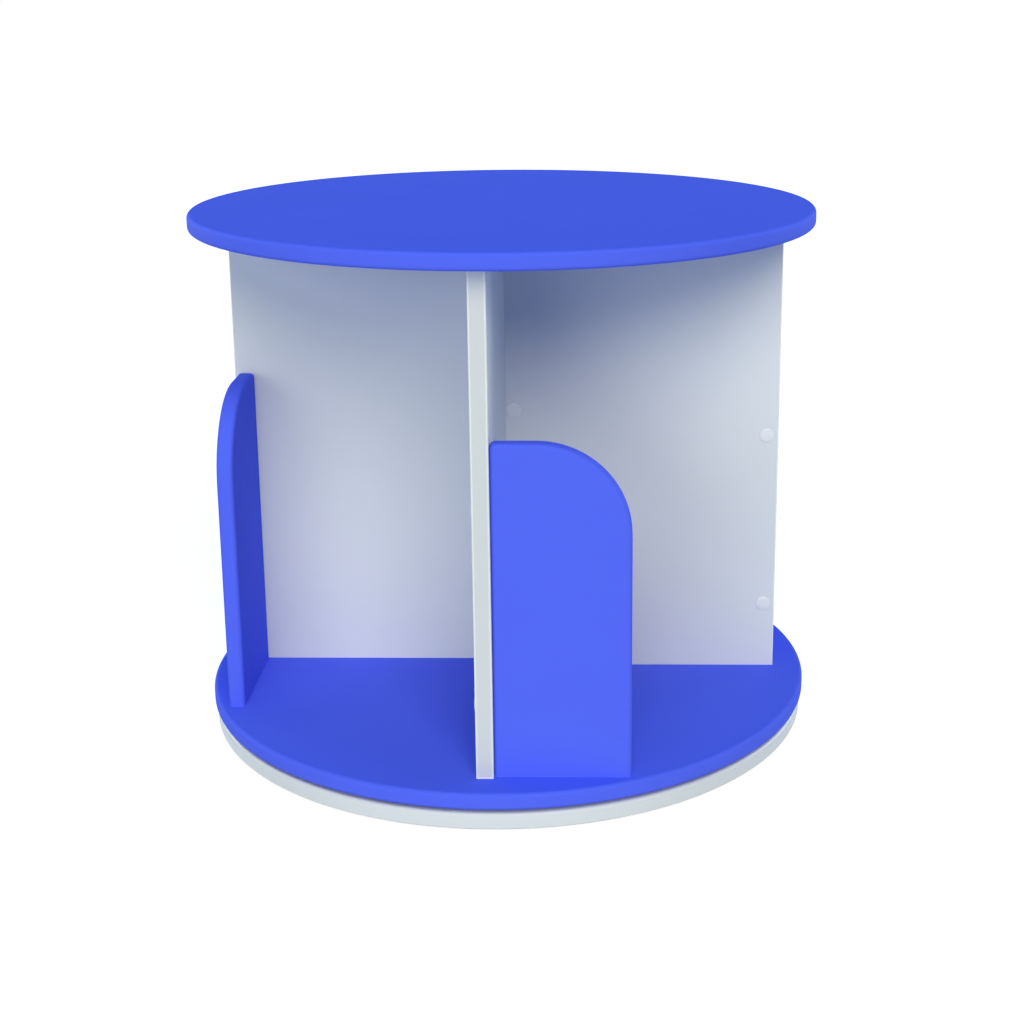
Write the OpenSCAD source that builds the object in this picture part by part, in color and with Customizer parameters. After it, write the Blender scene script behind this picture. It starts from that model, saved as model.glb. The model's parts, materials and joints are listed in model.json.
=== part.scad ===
// Revolving desktop bookcase: a round carousel of four open compartments that
// turns on a flat ring bearing let into a white base. Lengths are millimetres.
// +Z is up, the origin is under the middle of the base, and -Y is the front.

/* [Round boards] */
// Diameter of the top board and of the revolving shelf
round_d = 460; // [400:5:520]
// Thickness of every board
board_t = 12; // [10:0.5:18]
// Radius of the rounded rims of the top board and the shelf
blue_edge_r = 3; // [1:0.5:4.5]
// Radius of the rounded rims of the base
white_edge_r = 2; // [1:0.5:4.5]
// How far the base stays inside the rim of the shelf
base_inset = 2; // [0:0.5:20]
// Clear height of the compartments, from the shelf to the top board
clear_h = 350; // [270:5:420]

/* [Dividers] */
// Thickness of the plastic band on the outer edge of a divider
band_t = 1; // [0.5:0.1:2]
// Radius of the rounded corners of that band
band_r = 0.8; // [0.2:0.1:1]

/* [Fences] */
// Width of a fence, measured from its divider
fence_w = 93; // [60:1:120]
// Height of a fence
fence_h = 233.5; // [120:0.5:260]
// Radius of the big round upper corner of a fence
fence_corner_r = 63; // [10:1:90]
// Radius of the rounded edges of a fence
fence_edge_r = 3; // [0.5:0.1:4]
// How far a fence stands behind the outer edge of its divider
fence_setback = 3; // [0:0.1:5]
// Least distance from a fence's outer corner to the rounded rim of the shelf
fence_margin = 2.8; // [0:0.1:10]

/* [Ring bearing] */
// Diameter of the circle that the ball centres run on
race_d = 278; // [200:2:320]
// Width of each of the two rings
ring_w = 10; // [9:0.5:14]
// Height of each of the two rings
ring_h = 7; // [6.5:0.5:9]
// How far the inner ring stands above the outer one
ring_step = 1; // [0.5:0.1:1.5]
// Width of the slit between the two rings
ring_gap = 2; // [1.6:0.1:3]
// Height of the dark gap between the base and the shelf
turn_gap = 3; // [2:0.5:5]
// Diameter of a ball
ball_d = 5; // [3.5:0.1:5.4]
// Number of balls
ball_count = 36; // [18:1:48]
// Clearance between a ball and its race or its pocket
ball_play = 0.1; // [0.05:0.01:0.2]
// Clearance between the cage and each ring
cage_play = 0.3; // [0.2:0.05:0.4]
// Height of the cage above and below its pockets
cage_rim = 0.7; // [0.4:0.05:0.8]
// Radial clearance of the rings in the pocket of the base
pocket_play = 1; // [0.5:0.1:3]

/* [Fastenings] */
// Number of bolts, and of screws, that hold each ring
ring_fixings = 6; // [3:1:12]
// Shank diameter of a bolt that holds the outer ring
bolt_d = 4; // [3:0.5:4.5]
// Head diameter of that bolt
bolt_head_d = 8; // [6:0.5:9]
// Head height of that bolt
bolt_head_h = 2.5; // [1.5:0.1:3]
// Shank diameter of a screw that holds the inner ring
ring_screw_d = 3.5; // [2.5:0.1:4]
// Length of that screw
ring_screw_l = 14; // [11:0.5:15]
// Shank diameter of a board screw
screw_d = 4; // [3:0.1:4.5]
// Head diameter of a board screw
screw_head_d = 8; // [7:0.1:9]
// Length of a board screw
screw_l = 38; // [30:1:50]
// Diameter of a wooden dowel
dowel_d = 6; // [4:0.5:6]
// Length of a wooden dowel
dowel_l = 24; // [18:1:34]
// Diameter of a cam lock
cam_d = 12; // [10:0.5:15]
// Distance from the top of a divider to the axis of its cam locks
cam_drop = 24; // [18:0.5:34]
// Diameter of a cam bolt
cam_bolt_d = 5; // [4:0.1:6]
// Diameter of the cap over a screw head
cap_d = 11; // [10:0.5:12]
// Height that a cap stands proud
cap_h = 1; // [0.6:0.1:1.6]
// Clearance around every pin, dowel, bolt and screw in its hole
fit_play = 0.05; // [0.02:0.01:0.1]

/* [Feet] */
// Diameter of a foot pad
foot_d = 22; // [12:1:40]
// Thickness of a foot pad
foot_t = 2; // [1:0.5:6]
// Diameter of the circle of foot pads
foot_circle_d = 400; // [340:5:420]
// Number of foot pads
foot_count = 6; // [3:1:12]

/* [Hidden] */
$fn = 48;

// Colours
blue = [0.29, 0.36, 0.93];
white = [0.84, 0.87, 0.90];
alloy = [0.78, 0.79, 0.80];
steel = [0.62, 0.63, 0.65];
nylon = [0.92, 0.91, 0.86];
beech = [0.80, 0.66, 0.46];
foam = [0.13, 0.13, 0.14];

// Heights of the stack, from the floor up
base_z = foot_t;
base_top = base_z + board_t;
shelf_z = base_top + turn_gap;
shelf_top = shelf_z + board_t;
top_z = shelf_top + clear_h;

// The bearing: the outer ring lies on the floor of the pocket, the shelf lies
// on the inner ring, and the balls run half-way up the part that faces both
outer_z = shelf_z - ring_step - ring_h;
inner_z = shelf_z - ring_h;
ball_z = (outer_z + inner_z + ring_h) / 2;
race_r = race_d / 2;
outer_ring_r = race_r + ring_gap / 2;
inner_ring_r = race_r - ring_gap / 2;
groove_r = ball_d / 2 + ball_play;
ring_chamfer = 0.5;
bolt_r = outer_ring_r + ring_w * 0.55;
bolt_bite = ring_h - 2;
ring_screw_r = inner_ring_r - ring_w * 0.55;
ring_screw_head_d = ring_screw_d * 2;

// The plan: a fence's outer corner keeps its margin inside the flat of the
// shelf, and the dividers are as long as that leaves room for
flat_r = round_d / 2 - blue_edge_r - fence_margin;
fence_face = sqrt(flat_r * flat_r - fence_w * fence_w);
fence_mid = fence_face - board_t / 2;
divider_reach = fence_face + fence_setback;
divider_body = divider_reach - band_t;

// The corners of a fence: a big round one, and a small one beside its divider
heel_r = fence_edge_r + 1;
corner_r = min(fence_corner_r, fence_w - heel_r - 1, fence_h - 1);

// How deep dowels and cam bolts go into a round board
board_bite = board_t - 4;
dowel_end_play = 0.5;

// Places along a divider, measured from the axis
inner_screw_at = 60;
outer_screw_at = divider_body - 32;
inner_dowel_at = 95;
outer_dowel_at = divider_body - 12;
inner_cam_at = 50;
outer_cam_at = divider_body - 46;
top_inner_dowel_at = 22;
top_outer_dowel_at = divider_body - 18;
screw_places = [inner_screw_at, outer_screw_at];
dowel_places = [inner_dowel_at, outer_dowel_at];
cam_places = [inner_cam_at, outer_cam_at];
top_dowel_places = [top_inner_dowel_at, top_outer_dowel_at];

// Places along and up a fence, whose lower screw stays clear above the dowels
fence_dowel_places = [fence_w * 0.3, fence_w - 18];
above_dowels = dowel_l - board_bite + dowel_end_play + screw_head_d;
fence_screw_heights = [max(fence_h * 0.22, above_dowels), fence_h * 0.8];

// Heights of the screws at the centre. Neighbouring joints are a step apart,
// so that a divider's own end screws miss the ones that pass through it.
centre_step = 24;
centre_heights = [clear_h * 0.13, clear_h * 0.36, clear_h * 0.59];

// The cam locks
cam_depth = board_t - 2.5;
cam_bore_d = cam_bolt_d + 1;
cam_hook = cam_bolt_d / 2; // how far a cam's bore runs past its axis
cam_slot_w = 1.6;
cam_slot_depth = 1.5;
cap_overhang = 2.5;
socket_d = 4;
socket_depth = 2.2;
over = 1; // how far a cutter runs past the face that it cuts

// ---------- shared shapes ----------

// Half the section of a round board: flat faces and a rim with rounded edges
module rim_profile(radius, thickness, edge_r) {
    intersection() {
        square([radius, thickness]);
        union() {
            square([radius - edge_r, thickness]);
            translate([0, edge_r]) square([radius, thickness - 2 * edge_r]);
            for (z = [edge_r, thickness - edge_r]) translate([radius - edge_r, z]) circle(r = edge_r);
        }
    }
}

module round_board(diameter, edge_r) {
    rotate_extrude($fn = 180) rim_profile(diameter / 2, board_t, edge_r);
}

// Copies of a child on a circle about the axis
module on_circle(count, radius) {
    for (i = [0:count - 1]) rotate(i * 360 / count) translate([radius, 0, 0]) children();
}

// The four quarters, each turned from the front one: 0 front, 1 right, 2 back, 3 left
module in_quarter(quarter) {
    rotate(90 * quarter) children();
}

module in_each_quarter() {
    for (quarter = [0:3]) in_quarter(quarter) children();
}

// A child on the middle line of a divider, at a distance from the axis
module on_divider(distance, height) {
    translate([-board_t / 2, -distance, height]) children();
}

// Turns a child that stands up so that it points along +X or -Y
module facing_x() {
    rotate([0, 90, 0]) children();
}

module facing_front() {
    rotate([90, 0, 0]) children();
}

// A straight pin or hole that stands on the origin
module rod(d, l) {
    cylinder(d = d, h = l, $fn = 32);
}

// A hole with the working clearance round it
module hole(d, l) {
    rod(d + 2 * fit_play, l);
}

// A countersunk screw that points up, with its flat head level with the origin
module countersunk(d, head_d, l) {
    head_h = (head_d - d) / 2;
    difference() {
        rotate_extrude($fn = 32) polygon([
            [0, 0], [head_d / 2, 0], [d / 2, head_h], [d / 2, l - d], [0.3, l], [0, l]
        ]);
        translate([0, 0, -over]) cylinder(d = d, h = head_h + over, $fn = 6);
    }
}

// The hole for that screw: countersink, clearance and a blind pilot for its tip
module countersunk_hole(d, head_d, l) {
    head_h = (head_d - d) / 2;
    translate([0, 0, -over]) hole(d, l + over + fit_play);
    cylinder(d1 = head_d + 2 * fit_play, d2 = d + 2 * fit_play, h = head_h + fit_play, $fn = 32);
    translate([0, 0, -over]) rod(head_d + 2 * fit_play, over);
}

// A board screw has a cylindrical head with a hexagon socket, under a cap
module board_screw() {
    head_h = socket_depth + 0.8;
    difference() {
        rotate_extrude($fn = 32) polygon([
            [0, 0], [screw_head_d / 2, 0], [screw_head_d / 2, head_h], [screw_d / 2, head_h + 1],
            [screw_d / 2, screw_l - screw_d], [0.3, screw_l], [0, screw_l]
        ]);
        translate([0, 0, -over]) cylinder(d = socket_d, h = socket_depth + over, $fn = 6);
    }
}

module board_screw_hole() {
    head_h = socket_depth + 0.8;
    translate([0, 0, -over]) hole(screw_head_d, head_h + over);
    translate([0, 0, head_h]) cylinder(
        d1 = screw_head_d + 2 * fit_play, d2 = screw_d + 2 * fit_play, h = 1 + fit_play, $fn = 32);
    hole(screw_d, screw_l + fit_play);
}

// A dowel with chamfered ends
module dowel() {
    bevel = 0.8;
    rotate_extrude($fn = 32) polygon([
        [0, 0], [dowel_d / 2 - bevel, 0], [dowel_d / 2, bevel], [dowel_d / 2, dowel_l - bevel],
        [dowel_d / 2 - bevel, dowel_l], [0, dowel_l]
    ]);
}

module dowel_hole() {
    translate([0, 0, -dowel_end_play]) hole(dowel_d, dowel_l + 2 * dowel_end_play);
}

// ---------- where the fastenings sit, each as a module for its children ----------

module at_shelf_dowels() {
    for (distance = dowel_places) on_divider(distance, shelf_top - board_bite) children();
}

module at_shelf_screws() {
    for (distance = screw_places) on_divider(distance, shelf_z) children();
}

module at_top_dowels() {
    for (distance = top_dowel_places)
        on_divider(distance, top_z + board_bite - dowel_l) children();
}

module at_fence_dowels() {
    for (x = fence_dowel_places) translate([x, -fence_mid, shelf_top - board_bite]) children();
}

// From the divider's left face, through it and into the edge of the fence
module at_fence_screws() {
    for (height = fence_screw_heights)
        translate([-board_t, -fence_mid, shelf_top + height]) children();
}

// The joints of the front and back dividers are a step lower than the others
function centre_lift(quarter) = shelf_top + (quarter % 2) * centre_step;

// From the back of the neighbour, through it and into this divider's inner end
module at_centre_screws(quarter) {
    for (height = centre_heights)
        translate([-board_t / 2, board_t, centre_lift(quarter) + height]) children();
}

// The same joint seen from the divider that the screws pass through
module at_passing_screws(quarter) {
    for (height = centre_heights)
        translate([-board_t, -board_t / 2, centre_lift(quarter + 1) + height]) children();
}

// The cam locks face the left of each divider, but the back of the right one,
// so that no fitting shows on the two faces that look to the front
function cam_on_left(quarter) = quarter != 1;

module at_cams(quarter) {
    for (distance = cam_places) translate([0, -distance, top_z - cam_drop]) {
        if (cam_on_left(quarter)) translate([-board_t, 0, 0]) facing_x() children();
        else mirror([1, 0, 0]) facing_x() children();
    }
}

// ---------- base and bearing ----------

module base_board() {
    color(white) difference() {
        translate([0, 0, base_z]) round_board(round_d - 2 * base_inset, white_edge_r);
        bearing_pocket();
        on_circle(ring_fixings, bolt_r) base_bolt_hole();
    }
}

// The ring-shaped pocket that the bearing lies in
module bearing_pocket() {
    pocket_in = inner_ring_r - ring_w - pocket_play;
    pocket_out = outer_ring_r + ring_w + pocket_play / 2;
    rotate_extrude($fn = 180) translate([pocket_in, outer_z])
        square([pocket_out - pocket_in, base_top - outer_z + over]);
}

module base_bolt_hole() {
    head_play = 0.5;
    translate([0, 0, base_z - over])
        rod(bolt_head_d + 2 * head_play, bolt_head_h + head_play + over);
    translate([0, 0, base_z]) hole(bolt_d, outer_z + bolt_bite + fit_play - base_z);
}

// A pan-headed bolt, screwed up through the base into the outer ring
module base_bolt() {
    head_z = base_z + 0.5;
    neck_z = head_z + bolt_head_h;
    tip_z = outer_z + bolt_bite;
    bevel = 0.6;
    difference() {
        rotate_extrude($fn = 32) polygon([
            [0, head_z], [bolt_head_d / 2 - bevel, head_z], [bolt_head_d / 2, head_z + bevel],
            [bolt_head_d / 2, neck_z], [bolt_d / 2, neck_z], [bolt_d / 2, tip_z - bevel],
            [bolt_d / 2 - bevel, tip_z], [0, tip_z]
        ]);
        translate([0, 0, head_z - over]) cylinder(d = bolt_d * 0.7, h = bolt_head_h * 0.6 + over, $fn = 6);
    }
}

module base_bolts() {
    color(steel) on_circle(ring_fixings, bolt_r) base_bolt();
}

module foot_pads() {
    color(foam) on_circle(foot_count, foot_circle_d / 2) cylinder(d = foot_d, h = foot_t);
}

// Section of a bearing ring: a bevelled bar with the ball groove in one side
module ring_section(inner_r, z) {
    difference() {
        polygon([
            [inner_r + ring_chamfer, z], [inner_r + ring_w - ring_chamfer, z],
            [inner_r + ring_w, z + ring_chamfer], [inner_r + ring_w, z + ring_h - ring_chamfer],
            [inner_r + ring_w - ring_chamfer, z + ring_h], [inner_r + ring_chamfer, z + ring_h],
            [inner_r, z + ring_h - ring_chamfer], [inner_r, z + ring_chamfer]
        ]);
        translate([race_r, ball_z]) circle(r = groove_r);
    }
}

module bearing_outer_ring() {
    color(alloy) difference() {
        rotate_extrude($fn = 180) ring_section(outer_ring_r, outer_z);
        on_circle(ring_fixings, bolt_r)
            translate([0, 0, outer_z - over]) hole(bolt_d, bolt_bite + over + fit_play);
    }
}

module bearing_inner_ring() {
    color(alloy) difference() {
        rotate_extrude($fn = 180) ring_section(inner_ring_r - ring_w, inner_z);
        on_circle(ring_fixings, ring_screw_r)
            translate([0, 0, inner_z]) countersunk_hole(ring_screw_d, ring_screw_head_d, ring_screw_l);
    }
}

module ring_screws() {
    color(steel) on_circle(ring_fixings, ring_screw_r)
        translate([0, 0, inner_z]) countersunk(ring_screw_d, ring_screw_head_d, ring_screw_l);
}

// The cage is a thin upright band with a round pocket for each ball
module ball_cage() {
    cage_t = ring_gap - 2 * cage_play;
    cage_h = ball_d + 2 * ball_play + 2 * cage_rim;
    color(nylon) difference() {
        translate([0, 0, ball_z - cage_h / 2]) rotate_extrude($fn = 180)
            translate([race_r - cage_t / 2, 0]) square([cage_t, cage_h]);
        on_circle(ball_count, race_r - ring_w / 2) translate([0, 0, ball_z])
            facing_x() rod(ball_d + 2 * ball_play, ring_w);
    }
}

module bearing_balls() {
    color(steel) on_circle(ball_count, race_r)
        translate([0, 0, ball_z]) sphere(d = ball_d, $fn = 32);
}

// ---------- the two round blue boards ----------

module shelf_board() {
    color(blue) difference() {
        translate([0, 0, shelf_z]) round_board(round_d, blue_edge_r);
        on_circle(ring_fixings, ring_screw_r) translate([0, 0, inner_z])
            hole(ring_screw_d, ring_screw_l + fit_play);
        in_each_quarter() {
            at_shelf_screws() countersunk_hole(screw_d, screw_head_d, screw_l);
            at_shelf_dowels() dowel_hole();
            at_fence_dowels() dowel_hole();
        }
    }
}

module top_board() {
    color(blue) difference() {
        translate([0, 0, top_z]) round_board(round_d, blue_edge_r);
        in_each_quarter() {
            at_top_dowels() dowel_hole();
            for (distance = cam_places) on_divider(distance, top_z - over)
                hole(cam_bolt_d, board_bite + over + fit_play);
        }
    }
}

// ---------- dividers ----------

// The four dividers stand like a pinwheel: each inner end butts on the face of
// the next. Every divider is drawn as the front one and turned to its quarter.
module divider(quarter) {
    color(white) in_quarter(quarter) difference() {
        translate([-board_t, -divider_body, shelf_top]) cube([board_t, divider_body, clear_h]);
        at_shelf_dowels() dowel_hole();
        at_shelf_screws() hole(screw_d, screw_l + fit_play);
        at_top_dowels() dowel_hole();
        at_fence_screws() facing_x() board_screw_hole();
        at_passing_screws(quarter) facing_x() board_screw_hole();
        at_centre_screws(quarter) facing_front() hole(screw_d, screw_l + fit_play);
        at_cams(quarter) translate([0, 0, -over]) hole(cam_d, cam_depth + over + fit_play);
        for (distance = cam_places)
            on_divider(distance, top_z - cam_drop) rod(cam_bore_d, cam_drop + over);
    }
}

module divider_front() { divider(0); }
module divider_right() { divider(1); }
module divider_back() { divider(2); }
module divider_left() { divider(3); }

// Section of the band glued to a divider's outer edge, with two soft corners
module band_section() {
    corner = min(band_r, band_t * 0.9);
    intersection() {
        square([board_t, band_t]);
        union() {
            translate([corner, 0]) square([board_t - 2 * corner, band_t]);
            translate([0, corner]) square([board_t, band_t]);
            for (x = [corner, board_t - corner]) translate([x, corner]) circle(r = corner);
        }
    }
}

module edge_band(quarter) {
    color(white) in_quarter(quarter) translate([-board_t, -divider_reach, shelf_top])
        linear_extrude(clear_h) band_section();
}

module edge_band_front() { edge_band(0); }
module edge_band_right() { edge_band(1); }
module edge_band_back() { edge_band(2); }
module edge_band_left() { edge_band(3); }

// ---------- fences ----------

// A fence is flat below, where it stands on the shelf. Each upper corner is a
// quarter of a disc with a rounded rim, and the same rim runs on along the top
// and down both sides as straight strips.
module fence(quarter) {
    plain_w = fence_w - heel_r - corner_r;
    plain_h = fence_h - corner_r;
    color(blue) in_quarter(quarter) difference() {
        translate([heel_r, -fence_face, shelf_top]) {
            cube([plain_w, board_t, plain_h]);
            translate([plain_w, 0, plain_h]) {
                rotate([0, -90, 0]) linear_extrude(plain_w) fence_rim(corner_r);
                fence_corner(corner_r);
            }
            translate([plain_w, 0, 0]) linear_extrude(plain_h) fence_rim(corner_r);
            mirror([1, 0, 0]) {
                linear_extrude(fence_h - heel_r) fence_rim(heel_r);
                translate([0, 0, fence_h - heel_r]) fence_corner(heel_r);
            }
        }
        at_fence_dowels() dowel_hole();
        at_fence_screws() facing_x() hole(screw_d, screw_l + fit_play);
    }
}

module fence_rim(radius) {
    rim_profile(radius, board_t, fence_edge_r);
}

module fence_corner(radius) {
    translate([0, board_t, 0]) rotate([90, 0, 0])
        rotate_extrude(angle = 90, $fn = 120) fence_rim(radius);
}

module fence_front() { fence(0); }
module fence_right() { fence(1); }
module fence_back() { fence(2); }
module fence_left() { fence(3); }

// ---------- fastenings ----------

module shelf_dowels() {
    color(beech) in_each_quarter() at_shelf_dowels() dowel();
}

module shelf_screws() {
    color(steel) in_each_quarter() at_shelf_screws() countersunk(screw_d, screw_head_d, screw_l);
}

module fence_dowels() {
    color(beech) in_each_quarter() at_fence_dowels() dowel();
}

module fence_screws() {
    color(steel) in_each_quarter() at_fence_screws() facing_x() board_screw();
}

module centre_screws() {
    color(steel) for (quarter = [0:3]) in_quarter(quarter)
        at_centre_screws(quarter) facing_front() board_screw();
}

module top_dowels() {
    color(beech) in_each_quarter() at_top_dowels() dowel();
}

// A cam lock is a short drum with a cross slot, open above for its bolt
module cam_locks() {
    slot_l = cam_d * 0.55;
    color(alloy) for (quarter = [0:3]) in_quarter(quarter) at_cams(quarter) difference() {
        rotate_extrude($fn = 32) polygon([
            [0, 0], [cam_d / 2, 0], [cam_d / 2, cam_depth - 0.8],
            [cam_d / 2 - 0.8, cam_depth], [0, cam_depth]
        ]);
        translate([cam_hook, 0, board_t / 2]) rotate([0, -90, 0]) rod(cam_bore_d, cam_d);
        for (turn = [0, 90]) rotate(turn)
            translate([-slot_l / 2, -cam_slot_w / 2, -over]) cube([slot_l, cam_slot_w, cam_slot_depth + over]);
    }
}

// A cam bolt stands in the top board and hangs its head in the cam lock
module cam_bolt() {
    head_z = top_z - cam_drop - cam_hook + 0.4;
    head_h = cam_bolt_d * 0.5;
    neck_r = cam_bolt_d * 0.3;
    neck_l = cam_bolt_d * 0.8;
    tip_z = top_z + board_bite;
    rotate_extrude($fn = 32) polygon([
        [0, head_z], [neck_r, head_z], [cam_bolt_d / 2, head_z + head_h / 2],
        [cam_bolt_d / 2, head_z + head_h], [neck_r, head_z + head_h + 0.5],
        [neck_r, head_z + head_h + neck_l], [cam_bolt_d / 2, head_z + head_h + neck_l + 1],
        [cam_bolt_d / 2, tip_z - 1], [cam_bolt_d / 2 - 0.8, tip_z], [0, tip_z]
    ]);
}

module cam_bolts() {
    color(steel) in_each_quarter() for (distance = cam_places) on_divider(distance, 0) cam_bolt();
}

// A cap is a low dome that lies on the board, with a peg in the fitting under it
module cap(diameter, peg_d, peg_l) {
    rotate_extrude($fn = 48) polygon([
        [0, -cap_h], [diameter * 0.3, -cap_h], [diameter * 0.44, -cap_h * 0.7],
        [diameter / 2, -cap_h * 0.25], [diameter / 2, 0], [peg_d / 2, 0], [peg_d / 2, peg_l], [0, peg_l]
    ]);
}

module screw_caps() {
    color(white) for (quarter = [0:3]) in_quarter(quarter) {
        at_fence_screws() facing_x() cap(cap_d, socket_d * 0.8, socket_depth * 0.8);
        at_passing_screws(quarter) facing_x() cap(cap_d, socket_d * 0.8, socket_depth * 0.8);
    }
}

module cam_caps() {
    color(white) for (quarter = [0:3]) in_quarter(quarter)
        at_cams(quarter) cap(cam_d + cap_overhang, cam_slot_w * 0.8, cam_slot_depth * 0.8);
}

base_board();
foot_pads();
bearing_outer_ring();
base_bolts();
ball_cage();
bearing_balls();
bearing_inner_ring();
ring_screws();
shelf_board();
divider_front();
divider_right();
divider_back();
divider_left();
edge_band_front();
edge_band_right();
edge_band_back();
edge_band_left();
fence_front();
fence_right();
fence_back();
fence_left();
top_board();
shelf_dowels();
shelf_screws();
fence_dowels();
fence_screws();
centre_screws();
top_dowels();
cam_locks();
cam_bolts();
screw_caps();
cam_caps();
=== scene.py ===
# %% [markdown]
# # A revolving desktop bookcase
#
# The object is flat-pack furniture for a desk: two round blue boards, four white
# dividers that stand between them like a pinwheel, four blue fences with one big round
# corner each, and a white base. A ring bearing hides between the base and the shelf.
#
# The construction model comes in as a fixed frame, and this script gives it its looks.
# Boards whose form is already right keep their mesh and get a finish. The shelf and the
# base keep the middle of theirs and get a finer rim. Pieces that are turned on a lathe or
# that repeat, such as screws, dowels, balls and caps, are made again with finer detail by
# Geometry Nodes, in the very places that the frame gives.

# %% Load the frame
import json
import math

import bmesh
import bpy
import numpy as np
from mathutils import Matrix, Vector


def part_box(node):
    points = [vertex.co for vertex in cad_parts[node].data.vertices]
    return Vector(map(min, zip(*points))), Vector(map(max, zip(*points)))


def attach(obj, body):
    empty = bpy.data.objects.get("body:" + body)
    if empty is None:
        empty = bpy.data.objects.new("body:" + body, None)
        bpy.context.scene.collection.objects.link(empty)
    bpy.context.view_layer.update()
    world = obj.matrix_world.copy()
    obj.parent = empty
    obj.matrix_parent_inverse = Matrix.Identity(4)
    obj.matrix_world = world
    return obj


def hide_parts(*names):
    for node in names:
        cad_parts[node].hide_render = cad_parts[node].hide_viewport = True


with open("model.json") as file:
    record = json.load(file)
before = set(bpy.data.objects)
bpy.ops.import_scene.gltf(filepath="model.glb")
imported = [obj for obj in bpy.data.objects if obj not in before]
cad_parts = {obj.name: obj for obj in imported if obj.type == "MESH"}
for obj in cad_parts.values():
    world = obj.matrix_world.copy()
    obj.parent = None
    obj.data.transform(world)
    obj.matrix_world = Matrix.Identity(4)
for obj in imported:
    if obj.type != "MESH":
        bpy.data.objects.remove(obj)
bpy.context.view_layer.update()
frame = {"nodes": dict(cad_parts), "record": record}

# %% [markdown]
# ## Sizes
#
# Lengths here are metres, as everywhere in Blender. A finish or a fastener is thought of
# in millimetres, so `MM` turns one into the other. Sizes of the object itself are read
# from the corners of the piece that has them. What no corner tells, such as the radius of
# a rounded rim, is a named value in the cell that first needs it. Points that are nearer
# to each other than `same_spot` count as one.

# %% Sizes from the frame
MM = 0.001
TURN = 2 * math.pi
same_spot = 0.001 * MM


def corners(node):
    """The lowest and highest corner of a piece of the frame"""
    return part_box(node)


top_low, top_high = corners("top_board")
board_r = (top_high.x - top_low.x) / 2
seam_at = -corners("divider_front")[0].y
print(f"top board {board_r / MM:.1f} mm in radius, edge band from {seam_at / MM:.1f} mm out")

# %% [markdown]
# ## The camera
#
# The picture was taken from a little above the top board, nearly square to the front
# divider. Distance, height and tilt come from fitting a pinhole camera to the outlines of
# the boards. The lens is shifted a little downwards and sideways, as a product
# photographer does to keep upright edges upright. No depth of field is used.

# %% Camera
camera_lens = 58.76
camera_sensor = 36
camera_distance = 1.2398
camera_height = 0.5526
camera_round = math.radians(3.36)
camera_yaw = math.radians(2.53)
camera_tilt = math.radians(14.16)
camera_roll = math.radians(-0.19)
camera_shift = (-0.0646, -0.109)


def new_object(name, data):
    """Puts a mesh, a lamp or a camera into the scene"""
    obj = bpy.data.objects.new(name, data)
    bpy.context.scene.collection.objects.link(obj)
    return obj


def make_camera():
    data = bpy.data.cameras.new("camera")
    data.lens = camera_lens
    data.sensor_width = camera_sensor
    data.shift_x, data.shift_y = camera_shift
    camera = new_object("camera", data)
    camera.matrix_world = (
        Matrix.Rotation(camera_round, 4, "Z")
        @ Matrix.Translation((0, -camera_distance, camera_height))
        @ Matrix.Rotation(-camera_yaw, 4, "Z")
        @ Matrix.Rotation(math.pi / 2 - camera_tilt, 4, "X")
        @ Matrix.Rotation(camera_roll, 4, "Z")
    )
    bpy.context.scene.camera = camera
    return camera


camera = make_camera()
print("camera at", tuple(round(v, 3) for v in camera.matrix_world.translation))

# %% [markdown]
# ## A few helpers for node trees
#
# Materials and Geometry Nodes are both trees of nodes. `add` puts one node in a tree, sets
# its options and feeds its inputs, each with another node's socket or with a plain value.
# `calc` is the same for one step of arithmetic. With these two, a tree reads like a
# formula, and no wire has to be drawn by hand. `new_group` starts a tree that has named
# sockets, and `socket_name` turns the name of an argument into the name of a socket.

# %% Node helpers
SOCKETS = {
    "geometry": "NodeSocketGeometry",
    "colour": "NodeSocketColor",
    "value": "NodeSocketFloat",
    "count": "NodeSocketInt",
    "object": "NodeSocketObject",
    "material": "NodeSocketMaterial",
}


def add(tree, kind, inputs=None, **options):
    node = tree.nodes.new(kind)
    for name, value in options.items():
        setattr(node, name, value)
    for name, value in (inputs or {}).items():
        feed(tree, node.inputs[name], value)
    return node


def feed(tree, socket, value):
    if isinstance(value, bpy.types.NodeSocket):
        tree.links.new(value, socket)
    else:
        socket.default_value = value


def calc(tree, operation, a, b=0.0, c=0.0):
    node = add(tree, "ShaderNodeMath", operation=operation)
    for socket, value in zip(node.inputs, (a, b, c)):
        feed(tree, socket, value)
    return node.outputs[0]


def new_group(kind, name, inputs, outputs):
    """An empty node group with named sockets, and its two end nodes"""
    tree = bpy.data.node_groups.new(name, kind)
    for label, (socket, default) in inputs.items():
        made = tree.interface.new_socket(label, in_out="INPUT", socket_type=SOCKETS[socket])
        if default is not None:
            made.default_value = default
    for label, socket in outputs.items():
        tree.interface.new_socket(label, in_out="OUTPUT", socket_type=SOCKETS[socket])
    start = tree.nodes.new("NodeGroupInput")
    end = tree.nodes.new("NodeGroupOutput")
    return tree, start.outputs, end.inputs


def socket_name(word):
    """grain_size becomes Grain Size, and specular_ior_level becomes Specular IOR Level"""
    return word.replace("_", " ").title().replace("Ior", "IOR")


# %% [markdown]
# ## Light
#
# The bookcase stands in soft daylight. A wide warm lamp from the front and a low one from
# the front left reach far in under the top, so the boards that face the camera stay
# bright right up to it. A cool lamp overhead lights the top, and two lamps from behind
# keep the back and the sides as light as the front. These two stand almost on the
# horizon, where they light upright boards and leave the top its strong blue. The lamps
# are suns: they light every place alike, and a sun that is wide in the sky throws a soft
# shadow. The sky adds a little blue, and to the camera it is plain white.

# %% Sky
WHITE = (1, 1, 1, 1)
sky_level = 0.05
sky_tint = (0.45, 0.72, 1.0, 1.0)


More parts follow.
